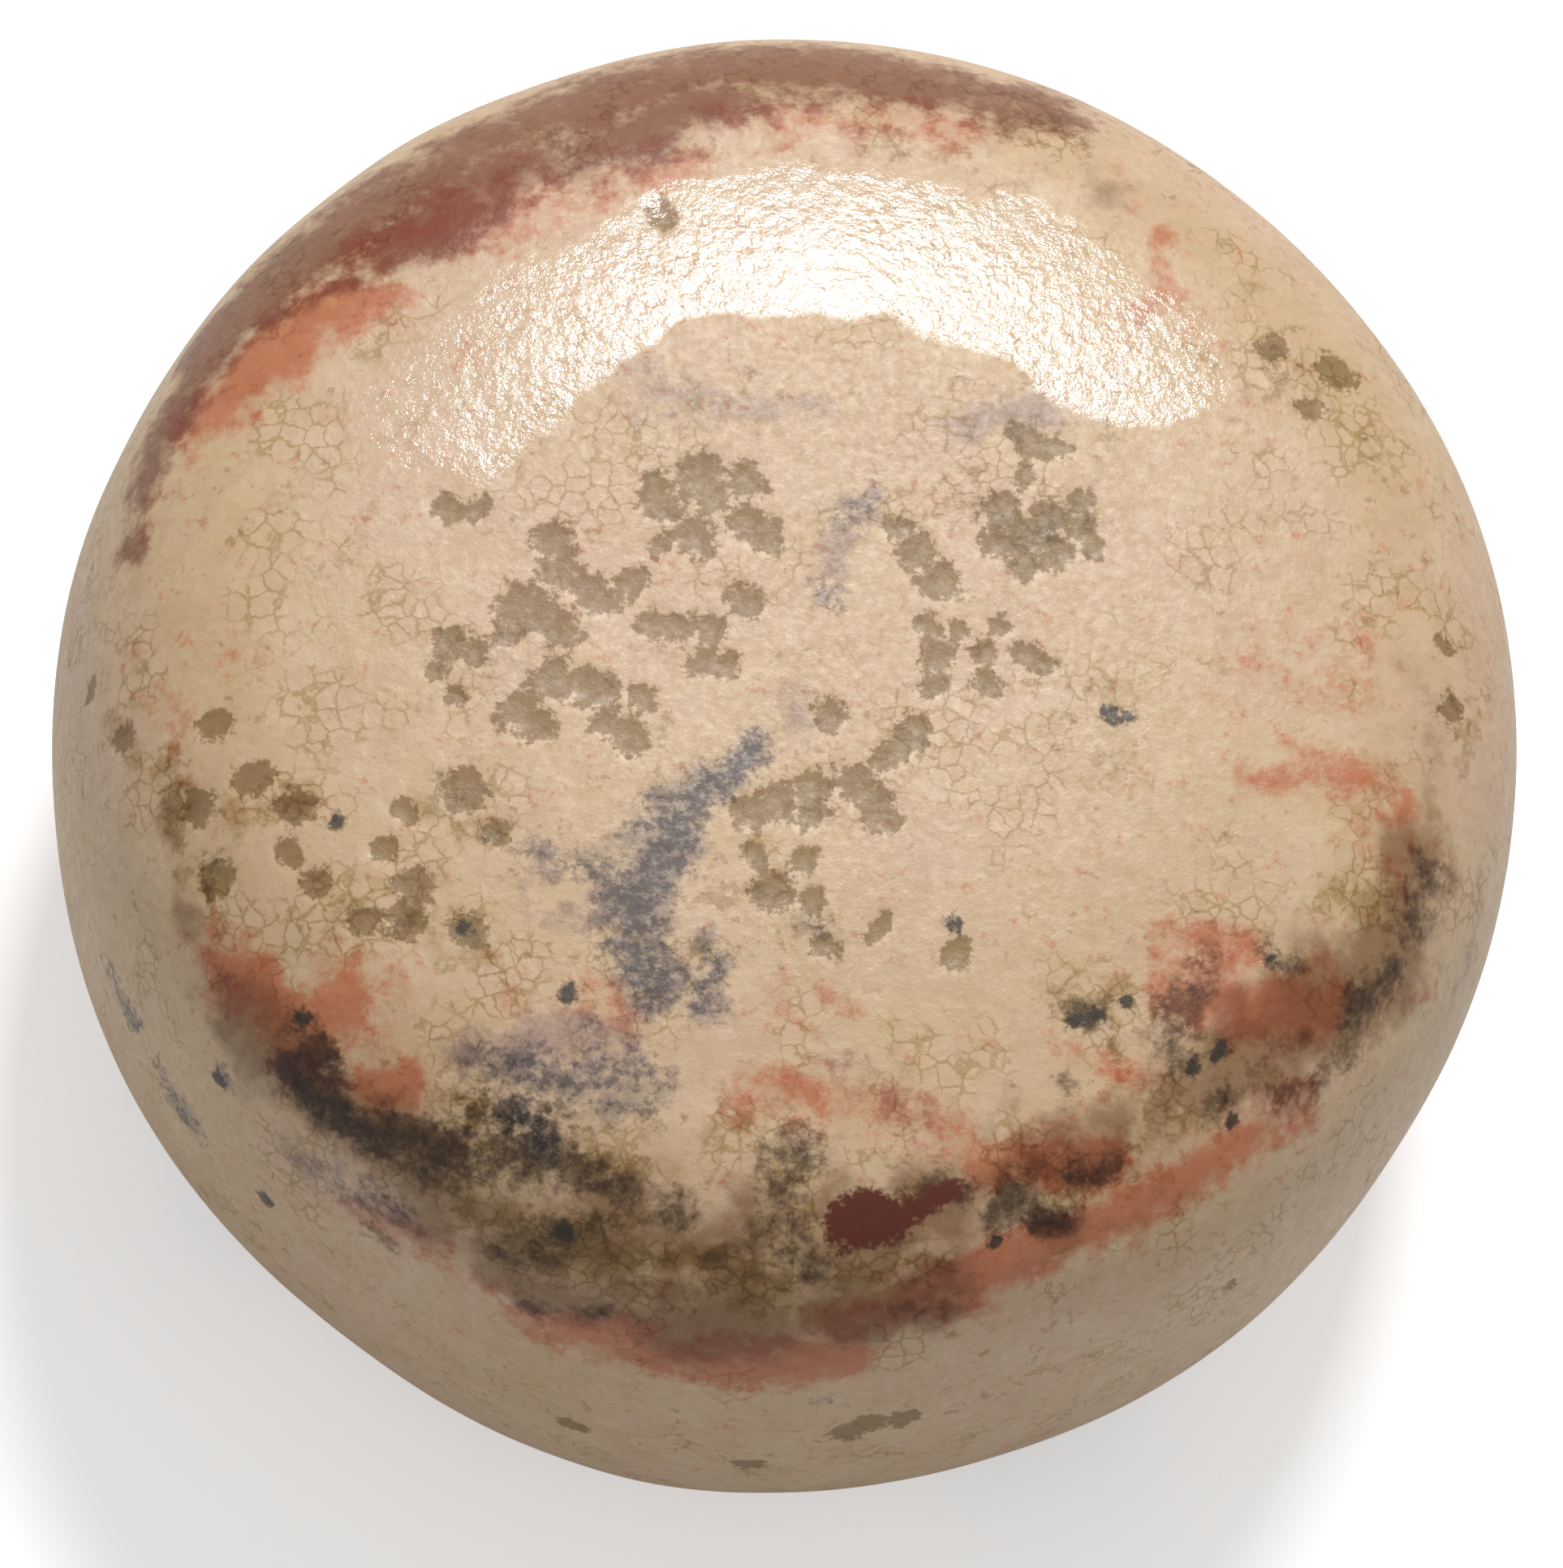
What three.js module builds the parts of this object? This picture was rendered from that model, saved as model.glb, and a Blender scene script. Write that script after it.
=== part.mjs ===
// A discoidal stone: one solid biscuit of quartzite, pecked to a thick disc and then ground and polished by hand.
// It is a single piece. Each face is flat in the middle and falls off gently towards a well rounded shoulder, and the
// side bulges like a barrel. It stands on its lower flat, with the origin in the middle of that flat and +Z up through
// both faces. Sizes are in millimetres, angles in degrees anticlockwise from +X seen from above.
import * as THREE from "three";

const DIAMETER = 80;
const THICKNESS = 43; // from the lower flat to the upper flat
const FLAT_RADIUS = 12; // the flat in the middle of each face, on which the stone can stand
const FACE_FALL_RADIUS = 100; // the gentle curve of a face outside its flat, seen in section
const SHOULDER_RADIUS = 12; // the rounding between a face and the side
const SIDE_BULGE_RADIUS = 40; // the barrel of the side, seen in section

// Where hand grinding left the stone out of round, seen from above. Each place lies in the direction `at`, stands out
// by `by` millimetres (below zero is a flat), and fades away over about `over` degrees to each side.
const OUT_OF_ROUND = [
  { at: 15, by: 0.25, over: 16 },
  { at: 68, by: 0.2, over: 11 },
  { at: 113, by: -0.45, over: 13 },
  { at: 133, by: -0.2, over: 7 },
  { at: 168, by: 0.3, over: 12 },
  { at: 200, by: 0.22, over: 14 },
  { at: 233, by: -0.3, over: 11 },
  { at: 262, by: 0.3, over: 10 },
  { at: 289, by: -0.18, over: 9 },
  { at: 326, by: -0.26, over: 12 },
];

const SIDES_ROUND = 72; // facets round the stone
const FLAT_STEPS = 2; // facets across half of a flat, from its middle to its edge
const FALL_STEPS = 5; // facets along the gentle curve of a face
const SHOULDER_STEPS = 12; // facets along a shoulder
const SIDE_STEPS = 7; // facets along the bulge of the side

const RADIUS = DIAMETER / 2;
const HALF_THICKNESS = THICKNESS / 2;

/**
 * The arcs of the upper half of the section, as (distance from the axis, height above the middle of the stone). They
 * run into each other without a corner: the fall of the face leaves the flat level at FLAT_RADIUS, the side stands
 * upright at half the thickness, and the shoulder touches both. Its centre therefore lies at FACE_FALL_RADIUS -
 * SHOULDER_RADIUS from the centre of the fall and at SIDE_BULGE_RADIUS - SHOULDER_RADIUS from that of the side.
 */
function sectionArcs() {
  const fall = new THREE.Vector2(FLAT_RADIUS, HALF_THICKNESS - FACE_FALL_RADIUS);
  const side = new THREE.Vector2(RADIUS - SIDE_BULGE_RADIUS, 0);
  const fromFall = FACE_FALL_RADIUS - SHOULDER_RADIUS;
  const fromSide = SIDE_BULGE_RADIUS - SHOULDER_RADIUS;
  const apart = fall.distanceTo(side);
  const along = (fromFall ** 2 - fromSide ** 2 + apart ** 2) / (2 * apart);
  const across = Math.sqrt(fromFall ** 2 - along ** 2);
  const towardsSide = side.clone().sub(fall).divideScalar(apart);
  const outwards = new THREE.Vector2(towardsSide.y, -towardsSide.x);
  const shoulder = fall.clone().addScaledVector(towardsSide, along).addScaledVector(outwards, across);
  return {
    fall,
    side,
    shoulder,
    sideEndAngle: shoulder.clone().sub(side).angle(),
    fallStartAngle: shoulder.clone().sub(fall).angle(),
  };
}

/** Points on an arc about the centre, between two angles from the outward direction towards +Z, ends included. */
function arcPoints(centre, radius, startAngle, endAngle, steps) {
  return new THREE.EllipseCurve(centre.x, centre.y, radius, radius, startAngle, endAngle).getPoints(steps);
}

/** The whole section as (distance from the axis, height), from the middle of the lower flat to that of the upper. */
function sectionPoints() {
  const { fall, side, shoulder, sideEndAngle, fallStartAngle } = sectionArcs();
  const sidePoints = arcPoints(side, SIDE_BULGE_RADIUS, -sideEndAngle, sideEndAngle, SIDE_STEPS);
  const shoulderPoints = arcPoints(shoulder, SHOULDER_RADIUS, sideEndAngle, fallStartAngle, SHOULDER_STEPS);
  const fallPoints = arcPoints(fall, FACE_FALL_RADIUS, fallStartAngle, Math.PI / 2, FALL_STEPS);
  const flatEdge = new THREE.Vector2(FLAT_RADIUS, HALF_THICKNESS);
  const flatMiddle = new THREE.Vector2(0, HALF_THICKNESS);
  const flatPoints = new THREE.LineCurve(flatEdge, flatMiddle).getPoints(FLAT_STEPS);
  const upper = [shoulderPoints, fallPoints, flatPoints].flatMap((points) => points.slice(1));
  const lower = upper.map((point) => new THREE.Vector2(point.x, -point.y)).reverse();
  return [...lower, ...sidePoints, ...upper].map((point) => new THREE.Vector2(point.x, point.y + HALF_THICKNESS));
}

/** How far the outline stands out from a true circle in a direction, in millimetres. */
function outOfRound(direction) {
  return OUT_OF_ROUND.reduce((sum, { at, by, over }) => {
    const away = THREE.MathUtils.euclideanModulo(direction - at + 180, 360) - 180;
    return sum + by * Math.exp(-((away / over) ** 2));
  }, 0);
}

/**
 * Turns the section about +Z and moves each point in or out in proportion to its distance from the axis. The swells
 * and flats shift the middle of the outline a little, so the stone is then slid back over the origin.
 */
function stoneGeometry() {
  const geometry = new THREE.LatheGeometry(sectionPoints(), SIDES_ROUND).rotateX(Math.PI / 2);
  const position = geometry.getAttribute("position");
  for (let i = 0; i < position.count; i++) {
    const x = position.getX(i);
    const y = position.getY(i);
    const stretch = 1 + outOfRound(THREE.MathUtils.radToDeg(Math.atan2(y, x))) / RADIUS;
    position.setXY(i, x * stretch, y * stretch);
  }
  geometry.computeBoundingBox();
  const middle = geometry.boundingBox.getCenter(new THREE.Vector3());
  geometry.translate(-middle.x, -middle.y, 0);
  geometry.computeVertexNormals();
  return geometry;
}

const quartzite = new THREE.MeshStandardMaterial({ color: 0xc39c7a, roughness: 0.4, metalness: 0 });

const stone = new THREE.Mesh(stoneGeometry(), quartzite);
stone.name = "stone";

const discoidal = new THREE.Group();
discoidal.add(stone);

export default discoidal;
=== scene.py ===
import math

import bpy
import numpy as np
from mathutils import Matrix, Vector
from mathutils.bvhtree import BVHTree


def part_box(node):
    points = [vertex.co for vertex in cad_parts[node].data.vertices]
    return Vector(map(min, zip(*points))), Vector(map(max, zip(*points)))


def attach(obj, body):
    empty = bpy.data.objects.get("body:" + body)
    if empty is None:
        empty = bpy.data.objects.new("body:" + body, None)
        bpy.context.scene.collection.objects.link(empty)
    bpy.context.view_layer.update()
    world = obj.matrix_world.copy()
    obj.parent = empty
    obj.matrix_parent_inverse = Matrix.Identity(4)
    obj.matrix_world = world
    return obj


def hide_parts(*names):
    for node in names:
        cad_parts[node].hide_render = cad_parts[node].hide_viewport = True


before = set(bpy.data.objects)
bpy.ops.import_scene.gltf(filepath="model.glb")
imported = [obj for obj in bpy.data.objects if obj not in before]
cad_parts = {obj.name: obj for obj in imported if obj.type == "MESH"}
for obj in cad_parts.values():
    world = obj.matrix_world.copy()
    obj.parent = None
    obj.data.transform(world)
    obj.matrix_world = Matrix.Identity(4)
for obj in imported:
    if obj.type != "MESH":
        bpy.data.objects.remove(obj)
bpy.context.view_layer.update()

# The view
# The stone lies on its lower flat. The camera looks down on it from the -Y side, a little from -X, and is
# turned about its line of sight until the stone's +Y runs straight up in the picture.
MM = 0.001
IMAGE_LONG_SIDE_PX = 1932
STONE_DIAMETER_PX = 1791
STONE_MIDDLE_LEFT_PX = 3.5  # how far right of the picture's middle the stone's middle lies
STONE_MIDDLE_UP_PX = 25.5  # how far above the picture's middle the stone's middle lies
CAMERA_AZIMUTH = math.radians(-15)
CAMERA_ELEVATION = math.radians(68.3)
CAMERA_DISTANCE = 0.45
SENSOR = 0.036

stone_low, stone_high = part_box("stone")
stone_radius = (stone_high.x - stone_low.x + stone_high.y - stone_low.y) / 4
stone_height = stone_high.z - stone_low.z
stone_middle = Vector((0, 0, stone_height / 2))

to_camera = Vector((
    math.sin(CAMERA_AZIMUTH) * math.cos(CAMERA_ELEVATION),
    -math.cos(CAMERA_AZIMUTH) * math.cos(CAMERA_ELEVATION),
    math.sin(CAMERA_ELEVATION),
))
picture_up = (Vector((0, 1, 0)) - to_camera * to_camera.y).normalized()
picture_right = picture_up.cross(to_camera)

metres_per_px = 2 * stone_radius / STONE_DIAMETER_PX
aim = stone_middle - (picture_right * STONE_MIDDLE_LEFT_PX + picture_up * STONE_MIDDLE_UP_PX) * metres_per_px
camera_data = bpy.data.cameras.new("camera")
camera_data.sensor_width = SENSOR * 1000
camera_data.lens = SENSOR * 1000 * CAMERA_DISTANCE / (IMAGE_LONG_SIDE_PX * metres_per_px)
camera_data.clip_start = 0.01
camera = bpy.data.objects.new("camera", camera_data)
camera.matrix_world = Matrix.Translation(aim + to_camera * CAMERA_DISTANCE) @ Matrix(
    (picture_right, picture_up, to_camera)
).transposed().to_4x4()
bpy.context.scene.collection.objects.link(camera)
bpy.context.scene.camera = camera

# The stone
# One biscuit of quartzite, pecked to a thick disc and ground and polished by hand. Each face is flat in the
# middle and falls off gently to a rounded shoulder. The side bulges like a barrel, with the flats that
# grinding left.
FLAT_RADIUS = 12 * MM
FACE_FALL_RADIUS = 100 * MM
SHOULDER_RADIUS = 12 * MM
SIDE_BULGE_RADIUS = 40 * MM
CELLS_ACROSS_A_SIDE = 128

# Direction from +X in degrees, how far the outline stands out there in mm, how far that fades to each side
OUT_OF_ROUND = [
    (15, 0.25, 16), (68, 0.2, 11), (113, -0.45, 13), (133, -0.2, 7), (168, 0.3, 12),
    (200, 0.22, 14), (233, -0.3, 11), (262, 0.3, 10), (289, -0.18, 9), (326, -0.26, 12),
]


def cloud(points, size, seed):
    """
    A smooth random field from 0 to 1: random values on a cubic lattice of the given size, eased between its
    corners. The lattice repeats after its count of corners, and the points are moved clear of its start.
    """
    corners_a_side = 32
    lattice = np.random.default_rng(seed).random((corners_a_side,) * 3)
    clear_of_start = 500
    place = points / size + clear_of_start
    cell = np.floor(place).astype(int)
    part = place - cell
    part = part * part * (3 - 2 * part)
    total = np.zeros(len(points))
    for dx in (0, 1):
        for dy in (0, 1):
            for dz in (0, 1):
                corner = (cell + (dx, dy, dz)) % corners_a_side
                share = np.prod(np.where((dx, dy, dz), part, 1 - part), axis=1)
                total += share * lattice[corner[:, 0], corner[:, 1], corner[:, 2]]
    return total


def cloudy(points, size, seed, octaves=3):
    """Clouds of halving size and weight added up, about 0 to 1."""
    weights = 0.5 ** np.arange(octaves)
    layers = [cloud(points, size * w, seed + i) * w for i, w in enumerate(weights)]
    return sum(layers) / weights.sum()


def ramp(value, low, high):
    """0 below low and 1 above high, eased in between; low above high turns it round."""
    part = np.clip((value - low) / (high - low), 0, 1)
    return part * part * (3 - 2 * part)


def section(share):
    """
    The section of the stone as (distance from the axis, height), for a share of its length from 0, the middle
    of the upper flat, to 1, the middle of the lower one. The upper half is a straight flat, the arc of the
    face's fall, the arc of the shoulder and the arc of the side's bulge, each touching the next. The lower
    half is its mirror image.
    """
    half = stone_height / 2
    fall = np.array((FLAT_RADIUS, half - FACE_FALL_RADIUS))
    side = np.array((stone_radius - SIDE_BULGE_RADIUS, 0))
    from_fall = FACE_FALL_RADIUS - SHOULDER_RADIUS
    from_side = SIDE_BULGE_RADIUS - SHOULDER_RADIUS
    apart = np.linalg.norm(side - fall)
    along = (from_fall**2 - from_side**2 + apart**2) / (2 * apart)
    across = math.sqrt(from_fall**2 - along**2)
    towards = (side - fall) / apart
    shoulder = fall + towards * along + np.array((towards[1], -towards[0])) * across
    fall_end = math.atan2(*(shoulder - fall))
    side_end = math.atan2(*(shoulder - side)[::-1])
    lengths = np.array((
        FLAT_RADIUS,
        FACE_FALL_RADIUS * fall_end,
        SHOULDER_RADIUS * (math.pi / 2 - fall_end - side_end),
        SIDE_BULGE_RADIUS * side_end,
    ))
    ends = np.concatenate(((0,), np.cumsum(lengths)))
    way = np.minimum(share, 1 - share) * 2 * ends[-1]
    fall_angle = (way - ends[1]) / FACE_FALL_RADIUS
    shoulder_angle = fall_end + (way - ends[2]) / SHOULDER_RADIUS
    side_angle = math.pi / 2 - side_end + (way - ends[3]) / SIDE_BULGE_RADIUS
    pieces = [
        (way, np.full_like(way, half)),
        (fall[0] + FACE_FALL_RADIUS * np.sin(fall_angle), fall[1] + FACE_FALL_RADIUS * np.cos(fall_angle)),
        (
            shoulder[0] + SHOULDER_RADIUS * np.sin(shoulder_angle),
            shoulder[1] + SHOULDER_RADIUS * np.cos(shoulder_angle),
        ),
        (side[0] + SIDE_BULGE_RADIUS * np.sin(side_angle), SIDE_BULGE_RADIUS * np.cos(side_angle)),
    ]
    on = [way < ends[1], way < ends[2], way < ends[3], way >= ends[3]]
    distance = np.select(on, [piece[0] for piece in pieces])
    height = np.select(on, [piece[1] for piece in pieces])
    return distance, half + np.where(share < 0.5, height, -height)


def out_of_round(direction):
    """How far the outline stands out from a circle in a direction in radians: bells added up, in metres."""
    total = np.zeros_like(direction)
    for at, by, over in OUT_OF_ROUND:
        away = (np.degrees(direction) - at + 180) % 360 - 180
        total += by * MM * np.exp(-((away / over) ** 2))
    return total


def ball_grid(cells):
    """
    Directions from the middle of a cube through an even grid on its six sides, with the grid lines at equal
    angles, and the four-cornered faces between them. Corners and edges that sides share are joined.
    """
    turn = np.tan(np.linspace(-math.pi / 4, math.pi / 4, cells + 1))
    across, up = np.meshgrid(turn, turn, indexing="ij")
    out = np.ones_like(across)
    sides = [
        (out, across, up), (-out, up, across), (up, out, across),
        (across, -out, up), (across, up, out), (up, across, -out),
    ]
    places = np.concatenate([np.stack(side, axis=-1).reshape(-1, 3) for side in sides])
    places /= np.linalg.norm(places, axis=1)[:, None]
    index = np.arange((cells + 1) ** 2).reshape(cells + 1, cells + 1)
    corners = np.stack((index[:-1, :-1], index[1:, :-1], index[1:, 1:], index[:-1, 1:]), axis=-1)
    corners = corners.reshape(-1, 4)
    faces = np.concatenate([corners + side * (cells + 1) ** 2 for side in range(6)])
    _, first, joined = np.unique(np.round(places, 6), axis=0, return_index=True, return_inverse=True)
    return places[first], joined.reshape(-1)[faces]


directions, faces = ball_grid(CELLS_ACROSS_A_SIDE)
share_down = np.arccos(np.clip(directions[:, 2], -1, 1)) / math.pi
around = np.arctan2(directions[:, 1], directions[:, 0])
distance, height = section(share_down)
distance = distance * (1 + out_of_round(around) / stone_radius)
surface = np.stack((distance * np.cos(around), distance * np.sin(around), height), axis=1)
surface[:, :2] -= (surface[:, :2].max(0) + surface[:, :2].min(0)) / 2


def stone_mesh(points):
    mesh = bpy.data.meshes.new("discoidal")
    mesh.from_pydata([], [], [])
    mesh.vertices.add(len(points))
    mesh.vertices.foreach_set("co", points.reshape(-1))
    mesh.loops.add(faces.size)
    mesh.loops.foreach_set("vertex_index", faces.reshape(-1).astype(np.int32))
    mesh.polygons.add(len(faces))
    mesh.polygons.foreach_set("loop_start", np.arange(0, faces.size, 4, dtype=np.int32))
    mesh.update(calc_edges=True)
    mesh.validate()
    return mesh


mesh = stone_mesh(surface)
mesh.polygons.foreach_set("use_smooth", np.ones(len(faces), bool))
normals = np.empty(len(surface) * 3)
mesh.vertices.foreach_get("normal", normals)
normals = normals.reshape(-1, 3)

# Stains
# Iron and manganese crept into the stone along its grain while it lay in the ground. Each mark below is where
# it shows in the picture, in millimetres right and up from the stone's middle, and it lies on the stone under
# that place. The side and the face turned away from the picture have cloudy stains of the same kinds.
skin = BVHTree.FromPolygons([Vector(p) for p in surface], faces.tolist())
eye = camera.matrix_world.translation


def bend(points, size, by, seed):
    """Shifts points by up to half of `by` each way, in clouds of a size, so that stains look grown."""
    shift = np.stack([cloudy(points, size, seed + axis, 2) - 0.5 for axis in range(3)], axis=1)
    return points + shift * by


grown = bend(bend(surface, 7 * MM, 3.0 * MM, 41), 2.2 * MM, 1.6 * MM, 51)


def on_stone(right, up):
    """The place on the stone that the camera sees at millimetres right and up of its middle."""
    seen = stone_middle + (picture_right * right + picture_up * up) * MM
    hit = skin.ray_cast(eye, (seen - eye).normalized())[0]
    return np.array(hit if hit else skin.find_nearest(seen)[0])


STROKE_STEP = 3


def stroke(line, width, points=grown):
    """
    1 on a line drawn on the stone and falling to 0 at its width: one less the distance to the nearest stretch
    of the line as a share of the width. The line is given by places in the picture, and follows the stone in
    steps of at most STROKE_STEP millimetres.
    """
    places = [on_stone(*line[0])]
    for (x0, y0), (x1, y1) in zip(line, line[1:]):
        steps = max(1, math.ceil(math.hypot(x1 - x0, y1 - y0) / STROKE_STEP))
        for k in range(1, steps + 1):
            places.append(on_stone(x0 + (x1 - x0) * k / steps, y0 + (y1 - y0) * k / steps))
    nearest = np.linalg.norm(points - places[0], axis=1)
    for start, end in zip(places, places[1:]):
        stretch = end - start
        never_zero = 1e-12
        part = np.clip((points - start) @ stretch / max(stretch @ stretch, never_zero), 0, 1)
        nearest = np.minimum(nearest, np.linalg.norm(points - start - part[:, None] * stretch, axis=1))
    return np.clip(1 - nearest / (width * MM), 0, 1)


def stain(marks):
    """The strongest of several strokes at each point; a mark is (strength, width in mm, places along it)."""
    total = np.zeros(len(surface))
    for strength, width, line in marks:
        total = np.maximum(total, strength * ramp(stroke(line, width), 0, 1))
    return total


# Brown iron crust round the upper left shoulder
RIM_BROWN = [
    (1.0, 6.5, [
        (-31, 24), (-27, 28), (-22, 31.5), (-17, 34), (-11, 36.5), (-4, 38.3), (3, 38.6), (10, 37.2),
        (14, 36),
    ]),
    (0.9, 4, [(-36, 13), (-34, 18), (-31, 23)]),
    (1.0, 4.5, [(-22, 29), (-15, 32.5), (-9, 34.5), (-3, 36.5)]),
    (0.7, 3, [(-28, 25), (-24, 27)]),
]
# Red and orange iron inside the crust, down the left side, at the ends of the low band and along its foot
RUST = [
    (1.0, 5, [(-32, 19), (-29, 22), (-25, 25.5)]),
    (1.0, 3.5, [(-26, 24.5), (-23, 25.5)]),
    (0.9, 4, [(-23, 29), (-17, 30.5), (-11, 32.5), (-6, 33.5)]),
    (0.6, 4, [(-3, 35), (6, 35.5), (11, 34.5)]),
    (0.6, 4, [(-34, 14), (-33, 16)]),
    (0.45, 4, [(-36, 7), (-34, 3), (-33, -1)]),
    (0.5, 2, [(-36.5, 7.5), (-35.5, 6.5)]),
    (0.5, 2, [(-31, 6.5), (-28.5, 6)]),
    (0.95, 5, [(-31, -11), (-28, -13), (-24.5, -12)]),
    (1.0, 4.5, [(-28, -13), (-27, -16)]),
    (1.0, 3.5, [(-22.5, -17), (-20.5, -18)]),
    (0.6, 3.5, [(-15, -11), (-11, -11.5), (-9, -14)]),
    (0.6, 3.5, [(-24, -25), (-20, -27), (-16, -29)]),
    (0.95, 4, [(-14, -31), (-8, -32), (-2, -33.3), (3, -33)]),
    (0.8, 4.5, [(0, -18), (4, -19), (8, -20)]),
    (0.5, 3, [(1, -13), (4, -13)]),
    (0.9, 4, [(3, -31), (9, -29), (14, -27), (19, -25.5), (24, -22.5), (28, -19)]),
    (0.9, 3.5, [(10, -22), (14, -22), (18, -22.5)]),
    (0.7, 3.5, [(17, -16), (19, -17)]),
    (1.0, 4.5, [(22, -12), (26, -14), (29, -14)]),
    (0.9, 3, [(21, -9.5), (25, -11)]),
    (0.7, 4, [(27, 0), (31, -1), (34, -3)]),
    (0.5, 5, [(26, 5), (29, 4), (32, 6)]),
    (0.6, 3, [(32, -5), (34, -7), (35, -4)]),
    (0.7, 2, [(21, 29), (21.5, 27), (20.5, 25.5), (19, 24)]),
    (0.5, 2, [(22.5, 26), (22, 23.5)]),
    (0.5, 1.6, [(-12, 21.5), (-11, 20.5)]),
    (0.35, 4, [(-20, 22), (-16, 24)]),
    (0.5, 3, [(33, -14), (36, -12)]),
]
# The brown wash of the low band, from the left side across the front to the right side
BAND = [
    (0.85, 7.5, [(-30, -14), (-26, -18), (-20, -22), (-13, -25), (-5, -27), (3, -26), (11, -25), (19, -21)]),
    (0.95, 6.5, [(21, -18), (27, -16), (32, -12), (35, -7)]),
    (0.9, 5, [(-22, -25), (-14, -29), (-6, -31), (3, -31), (9, -28)]),
    (0.6, 4, [(-34, -3), (-33, -8), (-32, -12)]),
    (0.6, 3, [(35, 4), (36, 0), (36, -5)]),
    (0.5, 4, [(20, 30), (17, 33), (13, 34)]),
]
# Dark brown to black, where the band is thickest
DARK = [
    (1.0, 4, [(-27, -17), (-24, -20), (-20, -21.5), (-16, -21), (-12, -22)]),
    (0.9, 3, [(-26.5, -14), (-25.3, -16.5)]),
    (0.9, 3, [(-17, -19.5), (-13, -20), (-9, -24), (-5, -24.5)]),
    (0.7, 3, [(-15, -27), (-11, -26)]),
    (0.8, 2, [(-14.5, -30), (-10, -30.2)]),
    (0.8, 2.2, [(-2, -26), (-3.5, -28)]),
    (0.8, 3, [(0, -21), (-1, -25), (1, -27)]),
    (0.9, 2.5, [(7, -23), (9.5, -24)]),
    (1.0, 2.6, [(11.5, -25.5), (12.5, -24), (15, -25.5)]),
    (0.8, 2, [(16, -22.5), (18, -23)]),
    (1.0, 2.2, [(16.5, -13.5), (17.5, -13.7)]),
    (0.7, 2, [(15.2, -18), (15.8, -17.5)]),
    (0.9, 2.5, [(22.5, -16.5), (24.5, -16), (24.5, -19.5)]),
    (0.9, 2, [(26.5, -10.7), (27.5, -11.3)]),
    (0.8, 3, [(23, -12), (21.5, -14), (22, -17)]),
    (0.8, 3, [(31, -14), (33, -12), (35, -8), (35.5, -6)]),
    (0.7, 2.5, [(27, -19), (30, -17), (32, -15)]),
    (0.6, 2, [(5, -30), (8, -30.5)]),
    (0.8, 1.6, [(-31.6, -6.7), (-31, -5.5)]),
    (0.7, 1.6, [(1.5, -35), (2.5, -35)]),
    (0.7, 2, [(-23, -26.2), (-22, -27)]),
]
# Golden ochre between the dark grains of the band
OCHRE = [
    (1.0, 3.5, [(-18, -24), (-13, -26.5), (-7, -28), (-1, -29)]),
    (0.9, 3, [(-10, -21.5), (-6, -22), (-3, -20)]),
    (0.8, 3, [(-18, -18.5), (-17, -19.5)]),
    (0.9, 2.6, [(-27, -18), (-24.5, -19.5)]),
    (0.8, 3, [(4, -28), (7, -28)]),
    (0.8, 2.5, [(12, -21.5), (16, -23.5), (14, -26)]),
    (0.8, 3, [(19, -18), (22, -20), (20, -22.5)]),
    (0.8, 2.6, [(30.5, -7.5), (33, -8)]),
    (0.7, 2.6, [(28, -16), (26, -17)]),
    (0.8, 2.5, [(15, -12.5), (19, -12.5), (18, -15)]),
    (0.7, 3, [(-34, 0), (-34, -4), (-32, -7)]),
    (0.6, 3, [(-37, 3), (-36, 0)]),
    (0.7, 4, [(-30, -3), (-27, -2.5)]),
    (0.6, 4, [(-24, -8), (-20, -8), (-17, -9.5)]),
    (0.8, 3, [(-19, -2), (-16, -3.5)]),
    (0.5, 4, [(26, 22), (30, 21), (32, 18)]),
    (0.5, 4, [(5, 34), (12, 33), (17, 33)]),
    (0.7, 3, [(11.5, 14), (14, 12), (16, 13)]),
    (0.5, 4, [(-2, -7), (1, -9)]),
    (0.5, 4, [(15, 2), (18, 3), (17, 0)]),
    (0.4, 5, [(-30, 15), (-27, 13)]),
    (0.5, 3, [(37, 6), (37.5, 1)]),
]
# Blue-black manganese in the middle, with its arm to the left and the drift below it, and along the left side
GREY = [
    (1.0, 3.2, [(-2.5, 1), (-5, -0.5), (-7, -2.5)]),
    (1.0, 3.6, [(-7, -2.5), (-8, -6), (-8.3, -9.5), (-7, -12)]),
    (0.85, 2.6, [(-4.5, -10.5), (-4, -13.5)]),
    (0.7, 2.6, [(-13, -4.2), (-10, -5)]),
    (0.9, 1.6, [(-11.7, -13.3), (-11.2, -13.7)]),
    (0.8, 4, [(-16, -16), (-12, -17), (-7, -17.5)]),
    (0.8, 2.5, [(-15, -19), (-13, -21)]),
    (0.5, 2.4, [(3, 12.5), (5, 14)]),
    (0.6, 1.8, [(1.8, 8.8), (1.5, 7.6)]),
    (0.8, 1.5, [(-26, 10.3)]),
    (0.5, 2.6, [(-26, 10.3)]),
    (0.6, 1.4, [(-24.8, 2.6)]),
    (0.6, 2.5, [(-26, -23), (-22.5, -24.3)]),
    (0.9, 2, [(-31, -18)]),
    (0.8, 2.4, [(-37.5, -11.5), (-36, -14)]),
    (0.7, 2.2, [(-34.5, -17), (-33, -19.3)]),
    (0.5, 2, [(1, -9.3), (2.5, -9.8)]),
    (0.35, 2, [(36.5, -11), (35, -13.5)]),
]
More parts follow.
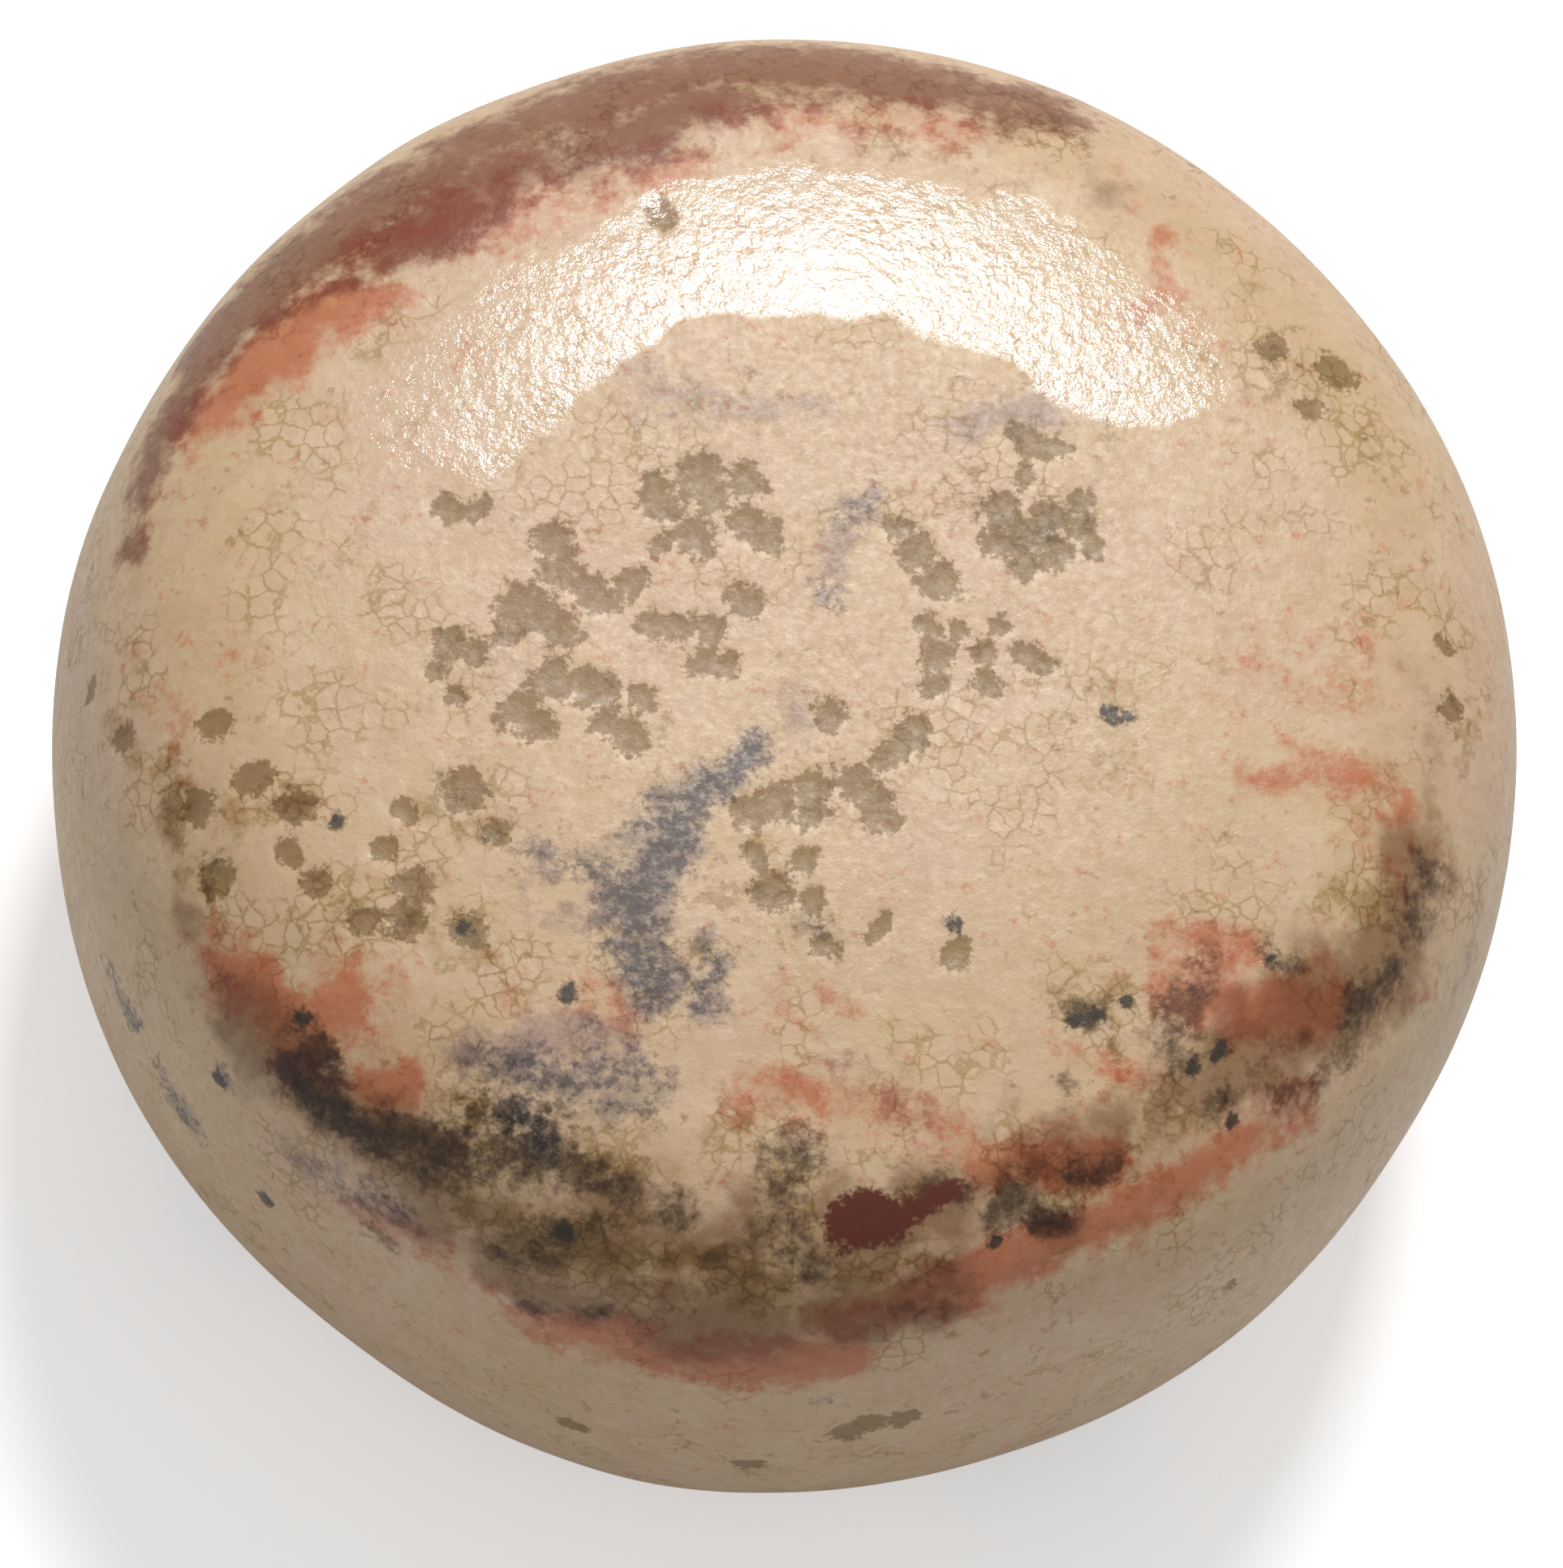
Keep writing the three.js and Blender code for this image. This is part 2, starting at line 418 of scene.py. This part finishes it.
# Lilac where a thin wash of manganese tints the quartz
PURPLE = [
    (1.0, 3.4, [(10, 18.5), (14, 20.3)]),
    (0.8, 2.4, [(0, 3.5), (1, 1.5)]),
    (0.7, 3, [(2, 9), (4, 13)]),
    (0.5, 5, [(-8, 20), (-3, 19), (2, 20)]),
    (0.9, 3.5, [(-17, -15), (-13, -14.5), (-9, -15.5)]),
    (0.6, 4, [(-13, -5), (-10, -7)]),
    (0.6, 4, [(3, -17), (6, -19.5)]),
    (0.7, 3.5, [(-27, -22), (-22, -25)]),
    (0.6, 3, [(38, -8), (37.3, -12)]),
    (0.4, 3, [(-17, 6), (-14, 5)]),
    (0.5, 2.5, [(20, 24), (18, 22)]),
]
# One patch of solid red iron and its tail
RED_SPOT = [
    (1.0, 3.0, [(3.6, -25.2), (5.2, -25.2)]),
    (0.75, 2.0, [(6.5, -24.6), (8.6, -23.8)]),
]
# Single black grains
BLACK = [
    (-26.6, -14), (-25.2, -16.4), (-17.5, -9.1), (-24.7, -3), (11.6, -26.3), (17, -13.8), (26.9, -11),
    (24, -16), (22.4, -16.6), (16.1, -14.2), (-13.8, -29.8), (-12.2, -25.9), (9.3, -8.9), (18.9, 2.7),
    (17.8, 2.7), (-28.6, -24), (-11.6, -12.6), (24.6, -19.8), (18.9, -12.9), (-31.2, -17.4),
]
# The pits of the pecking that the polish didn't reach, filled with brown earth: place and width in mm
PITS = [
    (-6.9, 30.3, 1.1), (-4.6, 15.9, 1.5), (-4.2, 14.8, 1.2), (-2, 15.6, 1.4), (-7, 14.5, 1.5),
    (-7.5, 15.9, 0.9), (-12.9, 12.4, 1.4), (-5, 12.7, 1.6), (-6.9, 12, 0.8), (-2, 13.3, 1.2),
    (-1.3, 12.5, 1.3), (-12.3, 10.6, 1.6), (-10.2, 9.5, 1.4), (-8.2, 10.1, 1.1), (-14.4, 8.7, 1.7),
    (-13.4, 8, 1.5), (-12.4, 7.4, 1.4), (-2.4, 9, 1.3), (-7, 7.7, 1.3), (-6, 7.5, 1.1), (-4.2, 7.1, 1.1),
    (-18.5, 6.6, 1.1), (-17, 6.3, 1), (-15.2, 7.2, 0.8), (-12.7, 4.6, 1.5), (-10.6, 4.3, 1.3),
    (-9.8, 3.8, 1), (-14.4, 2.8, 1.6), (-13.4, 2, 1.3), (-9.9, 2.2, 1), (-8.7, 1.5, 1.3), (-7.9, 3.7, 1.1),
    (-4.6, 5.4, 1.2), (-3, 5.3, 1), (-18, 3.8, 0.9), (-19.2, 5.3, 0.8), (7.3, 11.8, 1.3), (6, 13, 1),
    (8.6, 10, 1.4), (9.6, 7.4, 0.9), (8.3, 6, 1.1), (8.4, 4.3, 1), (11.2, 4.4, 1.2), (10.9, 6.2, 1),
    (13.4, 6, 1), (14.3, 5.4, 1), (2.4, 2.7, 1.2), (6.7, 1.2, 1.5), (5.6, 0.4, 1.1), (7.3, 2, 1),
    (1.5, -1.3, 1.3), (4, -1.2, 1.4), (5, -2.4, 1.5), (5.8, -3.1, 0.9), (-1.8, -2.8, 1.3),
    (-0.4, -2.1, 1.2), (1.6, -2.8, 1), (1.2, -5.3, 1), (-0.6, -7, 1.5), (1.6, -7.6, 1), (-1.5, -5.2, 0.8),
    (5.3, -9.2, 1), (9.5, -10.4, 1.1), (2.2, -10.1, 1), (-17.6, -1.4, 1.5), (-15.8, -3.9, 1),
    (-31.4, 2, 1.3), (-32.2, -2.4, 1.3), (-29.4, -0.8, 1.2), (-27.1, -2.3, 1.2), (-31.2, -6.4, 1.5),
    (-20.5, -6.9, 1.3), (-21, -8.8, 1.2), (-23.2, -8.8, 1.2), (-17.5, -9.2, 1.3), (-26, -6.6, 1.2),
    (-27.3, -4.8, 1), (-22, -4.8, 0.9), (-18.4, 14, 1.1), (-17, 13.9, 1), (12, 14, 1.3), (13.2, 12.6, 1.5),
    (14.6, 13.6, 1.3), (16.2, 13, 1.1), (15, 11.5, 1.2), (13.2, 10.8, 1.2), (17, 12, 0.9),
    (11.6, 12.2, 1.1), (16.4, 14.6, 0.9), (13.2, 15.8, 1), (13.8, 17.9, 1.4), (15.1, 17.6, 0.9),
    (30.6, 21.4, 1.5), (27, 23, 1), (29, 19.5, 1), (3.4, -36.9, 1.2), (4.6, -36.4, 1.1), (6.6, -36.2, 1.2),
    (-11.6, -36.5, 1.1), (-2, -38.7, 1.3), (24.6, -28.8, 0.9), (12.2, 7.7, 0.9), (8, 7.5, 0.8),
    (-20.7, -2.7, 0.8), (-36.4, 1.5, 1.2), (-38.3, 4, 1), (36.8, 3, 1.2), (36.5, 6.5, 1),
]

UNSEEN_FROM = 0.1  # how squarely the surface faces the camera where the cloudy stains begin
UNSEEN_TO = -0.3  # and where they are at full strength
PIT_SPREAD = 1.3  # a pit's earth over the pit's own width
BLACK_GRAIN = 1.1
unseen = ramp(normals @ np.array(to_camera), UNSEEN_FROM, UNSEEN_TO)
drift = cloudy(surface, 9 * MM, 21)
drift_rust = cloudy(surface, 5 * MM, 22)
far_brown = unseen * ramp(cloudy(grown, 17 * MM, 61), 0.5, 0.72)
far_rust = unseen * ramp(cloudy(grown, 13 * MM, 71), 0.5, 0.75)
far_grey = unseen * ramp(cloudy(grown, 12 * MM, 81), 0.62, 0.8)
pits = np.zeros(len(surface))
near_pits = bend(surface, 1.6 * MM, 1.2 * MM, 91)
for right, up, width in PITS:
    pits = np.maximum(pits, stroke([(right, up)], width * PIT_SPREAD, near_pits))
black = np.zeros(len(surface))
for right, up in BLACK:
    black = np.maximum(black, stroke([(right, up)], BLACK_GRAIN, near_pits))

# Where the clear lacquer was brushed on, and how wide
LACQUER_LINE = [(-19, 19), (-12, 25), (-6, 28), (0, 29), (6, 28.5), (12, 27), (19, 23.5)]
LACQUER_WIDTH = 6
STRONGEST = 1.5
layers = {
    "rim_brown": np.maximum(stain(RIM_BROWN) * (0.75 + 0.5 * drift), far_brown * 0.8),
    "rust": np.maximum(stain(RUST) * (0.6 + 0.8 * drift_rust), far_rust),
    "band": np.maximum(stain(BAND) * (0.7 + 0.6 * drift), far_brown),
    "dark": stain(DARK) * (0.7 + 0.6 * drift_rust) + far_brown * 0.3,
    "ochre": np.maximum(stain(OCHRE) * (0.7 + 0.6 * drift), 0.6 * far_rust),
    "grey": np.maximum(stain(GREY) * (0.75 + 0.5 * drift_rust), far_grey * 0.7),
    "purple": np.maximum(stain(PURPLE) * (0.7 + 0.6 * drift), far_grey),
    "red_spot": stain(RED_SPOT),
    "pits": pits,
    "black": black,
    "lacquer": ramp(stroke(LACQUER_LINE, LACQUER_WIDTH), 0, 0.5),
}
for name, values in layers.items():
    attribute = mesh.attributes.new(name, "FLOAT", "POINT")
    attribute.data.foreach_set("value", np.clip(values, 0, STRONGEST).astype(np.float32))

# The surface itself: slight waves that the grinding left, none on the flat it rests on, and the shallow pits
PIT_DEPTH = 0.1 * MM
WAVINESS = 0.12 * MM
WAVE_SIZE = 14 * MM
WAVES_FADE_BELOW = 3 * MM
HIGHEST_WAVE = 0.05 * MM
relief = (cloudy(surface, WAVE_SIZE, 31) - 0.5) * 2 * WAVINESS * ramp(surface[:, 2], 0, WAVES_FADE_BELOW)
relief = relief - ramp(pits, 0.2, 0.7) * PIT_DEPTH
shown = surface + normals * np.minimum(relief, HIGHEST_WAVE)[:, None]
mesh.vertices.foreach_set("co", shown.reshape(-1))
mesh.update()

# The quartzite
# Quartz grains grown together: pink, cream and grey grains, with ochre iron along their edges, ground and
# polished to a soft sheen. The stains sink into it, so each one darkens and tints the grains under it.
quartzite = bpy.data.materials.new("quartzite")
quartzite.use_nodes = True
tree = quartzite.node_tree
tree.nodes.clear()


def srgb(red, green, blue):
    """A colour given as it looks on a screen, 0 to 255, turned to linear light."""
    shares = (red / 255, green / 255, blue / 255)
    return tuple(c / 12.92 if c <= 0.04045 else ((c + 0.055) / 1.055) ** 2.4 for c in shares) + (1,)


GROUND = (196, 168, 134)


def tint(red, green, blue):
    """What turns the ground's colour into this one when the two are multiplied."""
    return tuple(min(1, over / under) for over, under in zip(srgb(red, green, blue), srgb(*GROUND)))


def node(kind, **settings):
    made = tree.nodes.new(kind)
    for name, value in settings.items():
        setattr(made, name, value)
    return made


def link(source, target):
    tree.links.new(source, target)


def put(value, socket):
    """Links a socket to a node's output, or sets it to a plain number or colour."""
    if isinstance(value, bpy.types.NodeSocket):
        link(value, socket)
    else:
        socket.default_value = value


def maths(operation, first, second=0.0, third=0.0):
    made = node("ShaderNodeMath", operation=operation)
    for socket, value in zip(made.inputs, (first, second, third)):
        put(value, socket)
    return made.outputs["Value"]


place = node("ShaderNodeTexCoord").outputs["Object"]


def noise(size, detail=3, roughness=0.6, seed=0.0, output="Fac"):
    """Noise from 0 to 1 in lumps of a size in mm, each seed in another part of the noise."""
    shift = node("ShaderNodeVectorMath", operation="ADD")
    link(place, shift.inputs[0])
    shift.inputs[1].default_value = (seed, seed * 0.7, seed * 1.3)
    made = node("ShaderNodeTexNoise")
    link(shift.outputs["Vector"], made.inputs["Vector"])
    made.inputs["Scale"].default_value = 1 / (size * MM)
    made.inputs["Detail"].default_value = detail
    made.inputs["Roughness"].default_value = roughness
    return made.outputs[output]


def between(value, low, high):
    made = node("ShaderNodeMapRange", interpolation_type="SMOOTHSTEP")
    link(value, made.inputs["Value"])
    made.inputs["From Min"].default_value = low
    made.inputs["From Max"].default_value = high
    return made.outputs["Result"]


def layer(name):
    return node("ShaderNodeAttribute", attribute_name=name).outputs["Fac"]


def blend(amount, under, over, how="MIX"):
    made = node("ShaderNodeMix", data_type="RGBA", blend_type=how)
    put(amount, made.inputs["Factor"])
    put(under, made.inputs["A"])
    put(over, made.inputs["B"])
    return made.outputs["Result"]


def soaked(name, grain, reach=1.6, hold=0.9):
    """How much of a stain the stone took up: reach times its layer, less hold where the grain is low."""
    level = maths("MULTIPLY_ADD", layer(name), reach, maths("MULTIPLY_ADD", grain, hold, -hold))
    return between(level, 0.0, 1.0)


def lumps(size, detail=4, roughness=0.65, seed=0.0):
    """Noise stretched to the whole range from 0 to 1."""
    return between(noise(size, detail, roughness, seed), 0.32, 0.68)


# Grains and their edges: the same cells, bent a little so that no edge is straight
jitter = node("ShaderNodeVectorMath", operation="MULTIPLY_ADD")
link(noise(0.9, 3, 0.6, 0.11, "Color"), jitter.inputs[0])
jitter.inputs[1].default_value = (0.9 * MM,) * 3
link(place, jitter.inputs[2])


def cells(size, feature):
    made = node("ShaderNodeTexVoronoi", feature=feature)
    link(jitter.outputs["Vector"], made.inputs["Vector"])
    made.inputs["Scale"].default_value = 1 / (size * MM)
    return made


grain_shade = node("ShaderNodeSeparateColor")
link(cells(1.1, "F1").outputs["Color"], grain_shade.inputs["Color"])
small_shade = node("ShaderNodeSeparateColor")
link(cells(0.5, "F1").outputs["Color"], small_shade.inputs["Color"])
grain_edge = cells(1.1, "DISTANCE_TO_EDGE").outputs["Distance"]

# Patches of the ground's unevenness, from the largest, named for their size in mm
wide = lumps(15, 3, 0.55, 0.4)
coarse = lumps(4.5, 5, 0.62, 0.3)
uneven = lumps(3.5, 5, 0.6, 0.7)
mid = lumps(1.6, 6, 0.68, 0.2)
fine = lumps(0.55, 4, 0.7, 0.5)
blush = between(maths("MULTIPLY", mid, fine), 0.5, 0.9)

# The ground: yellowish and pinkish quartz, then what lies over it as (where, how strong at most, its colour)
colour = blend(wide, srgb(200, 172, 130), srgb(203, 170, 144))
GROUND_COLOURS = [
    (coarse, 0.55, (206, 184, 150)),
    (uneven, 0.5, (186, 154, 112)),
    (grain_shade.outputs["Red"], 0.28, (214, 190, 164)),
    (grain_shade.outputs["Green"], 0.22, (178, 146, 122)),
    (small_shade.outputs["Blue"], 0.25, (206, 172, 136)),
    (fine, 0.22, (172, 134, 92)),
    (blush, 0.5, (190, 112, 74)),
]
for where, most, over in GROUND_COLOURS:
    colour = blend(maths("MULTIPLY", where, most), colour, srgb(*over))

# Ochre iron along the edges of the grains in some patches, and ochre freckles, more where the ochre stain is
ochre_helps = layer("ochre")
edge_line = between(grain_edge, 0.1, 0.01)
edge_where = between(maths("ADD", noise(5.0, 4, 0.6, 0.8), maths("MULTIPLY", ochre_helps, 0.15)), 0.5, 0.62)
edges = maths("MULTIPLY", edge_line, edge_where)
colour = blend(maths("MULTIPLY", edges, 0.65), colour, tint(150, 118, 58), "MULTIPLY")
freckle = between(maths("ADD", noise(1.5, 5, 0.7, 0.9), maths("MULTIPLY", ochre_helps, 0.12)), 0.62, 0.68)
colour = blend(maths("MULTIPLY", freckle, 0.55), colour, tint(146, 116, 66), "MULTIPLY")

# The stains, one over the other: (layer, the grain that takes it up, reach, hold, how strong, its colour)
STAIN_COLOURS = [
    ("purple", mid, 1.6, 0.9, 0.75, (150, 124, 112)),
    ("rust", mid, 1.5, 0.8, 0.9, (180, 108, 70)),
    ("ochre", mid, 1.5, 1.0, 0.7, (152, 120, 60)),
    ("band", coarse, 1.5, 0.9, 0.8, (126, 90, 52)),
    ("rim_brown", mid, 1.6, 0.7, 0.9, (124, 78, 52)),
    ("dark", mid, 1.5, 1.1, 0.8, (96, 74, 46)),
    ("dark", fine, 1.2, 1.1, 0.6, (84, 66, 46)),
    ("grey", mid, 1.6, 0.9, 0.7, (122, 108, 100)),
    ("grey", fine, 1.4, 1.1, 0.75, (88, 80, 78)),
]
for name, grain, reach, hold, most, over in STAIN_COLOURS:
    colour = blend(maths("MULTIPLY", soaked(name, grain, reach, hold), most), colour, tint(*over), "MULTIPLY")

# Earth in the pits, solid red iron and black grains, each with an edge that the finest grain frays
earth = between(maths("MULTIPLY_ADD", fine, 0.35, layer("pits")), 0.42, 0.62)
colour = blend(maths("MULTIPLY", earth, 0.85), colour, tint(132, 104, 62), "MULTIPLY")
red_iron = between(maths("MULTIPLY_ADD", fine, 0.3, layer("red_spot")), 0.5, 0.75)
colour = blend(red_iron, colour, srgb(92, 38, 22))
black_grain = between(maths("MULTIPLY_ADD", fine, 0.3, layer("black")), 0.5, 0.8)
colour = blend(maths("MULTIPLY", black_grain, 0.9), colour, srgb(44, 36, 28))

finish = node("ShaderNodeBsdfPrincipled")
link(colour, finish.inputs["Base Color"])
finish.inputs["Specular IOR Level"].default_value = 0.45
link(maths("MULTIPLY_ADD", fine, 0.15, 0.38), finish.inputs["Roughness"])
bump = node("ShaderNodeBump")
bump.inputs["Strength"].default_value = 0.25
bump.inputs["Distance"].default_value = 0.12 * MM
link(mid, bump.inputs["Height"])
link(bump.outputs["Normal"], finish.inputs["Normal"])

# Clear coat: lacquer brushed over one arc of the face, thin, dried into small ridges and beads
brushed = between(maths("MULTIPLY_ADD", coarse, 0.35, layer("lacquer")), 0.5, 0.9)
link(maths("MULTIPLY", brushed, 0.8), finish.inputs["Coat Weight"])
finish.inputs["Coat Roughness"].default_value = 0.1
beads = node("ShaderNodeBump")
beads.inputs["Strength"].default_value = 0.8
beads.inputs["Distance"].default_value = 0.12 * MM
link(noise(0.9, 4, 0.6, 1.0), beads.inputs["Height"])
link(beads.outputs["Normal"], finish.inputs["Coat Normal"])
output = node("ShaderNodeOutputMaterial")
link(finish.outputs["BSDF"], output.inputs["Surface"])
mesh.materials.append(quartzite)

stone = bpy.data.objects.new("discoidal", mesh)
bpy.context.scene.collection.objects.link(stone)
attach(stone, "root")
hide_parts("stone")

# The surroundings
# White paper under and around the stone, a soft window above and behind it, and plain white light from all
# sides. The paper glows a little to the camera alone, so that it reads as white and still holds the shadow.
FLOOR_SIZE = 4.0
PAPER_GLOW = 0.45
WORLD_LIGHT = 0.42
paper = bpy.data.materials.new("white_paper")
paper.use_nodes = True
tree = paper.node_tree
tree.nodes.clear()
sheet = node("ShaderNodeBsdfDiffuse")
sheet.inputs["Color"].default_value = (0.8, 0.8, 0.8, 1)
glow = node("ShaderNodeEmission")
light_path = node("ShaderNodeLightPath")
link(maths("MULTIPLY", light_path.outputs["Is Camera Ray"], PAPER_GLOW), glow.inputs["Strength"])
both = node("ShaderNodeAddShader")
link(sheet.outputs["BSDF"], both.inputs[0])
link(glow.outputs["Emission"], both.inputs[1])
link(both.outputs["Shader"], node("ShaderNodeOutputMaterial").inputs["Surface"])
half = FLOOR_SIZE / 2
floor_mesh = bpy.data.meshes.new("floor")
floor_corners = [(-half, -half, 0), (half, -half, 0), (half, half, 0), (-half, half, 0)]
floor_mesh.from_pydata(floor_corners, [], [(0, 1, 2, 3)])
floor_mesh.materials.append(paper)
floor = bpy.data.objects.new("floor", floor_mesh)
bpy.context.scene.collection.objects.link(floor)

world = bpy.data.worlds.new("studio")
world.use_nodes = True
world.node_tree.nodes["Background"].inputs["Color"].default_value = (1, 1, 1, 1)
world.node_tree.nodes["Background"].inputs["Strength"].default_value = WORLD_LIGHT
bpy.context.scene.world = world

WINDOW_DISTANCE = 0.8
WINDOW_OFF_SIGHT = math.radians(54)
WINDOW_TURN = math.radians(76)
window_way = to_camera * math.cos(WINDOW_OFF_SIGHT) + math.sin(WINDOW_OFF_SIGHT) * (
    picture_right * math.cos(WINDOW_TURN) + picture_up * math.sin(WINDOW_TURN)
)
window_data = bpy.data.lights.new("window", "AREA")
window_data.shape = "RECTANGLE"
window_data.size = 0.2
window_data.size_y = 0.12
window_data.energy = 5
window = bpy.data.objects.new("window", window_data)
window.location = stone_middle + window_way * WINDOW_DISTANCE
window.rotation_euler = window_way.to_track_quat("Z", "Y").to_euler()
bpy.context.scene.collection.objects.link(window)

bpy.context.scene.view_settings.view_transform = "Standard"
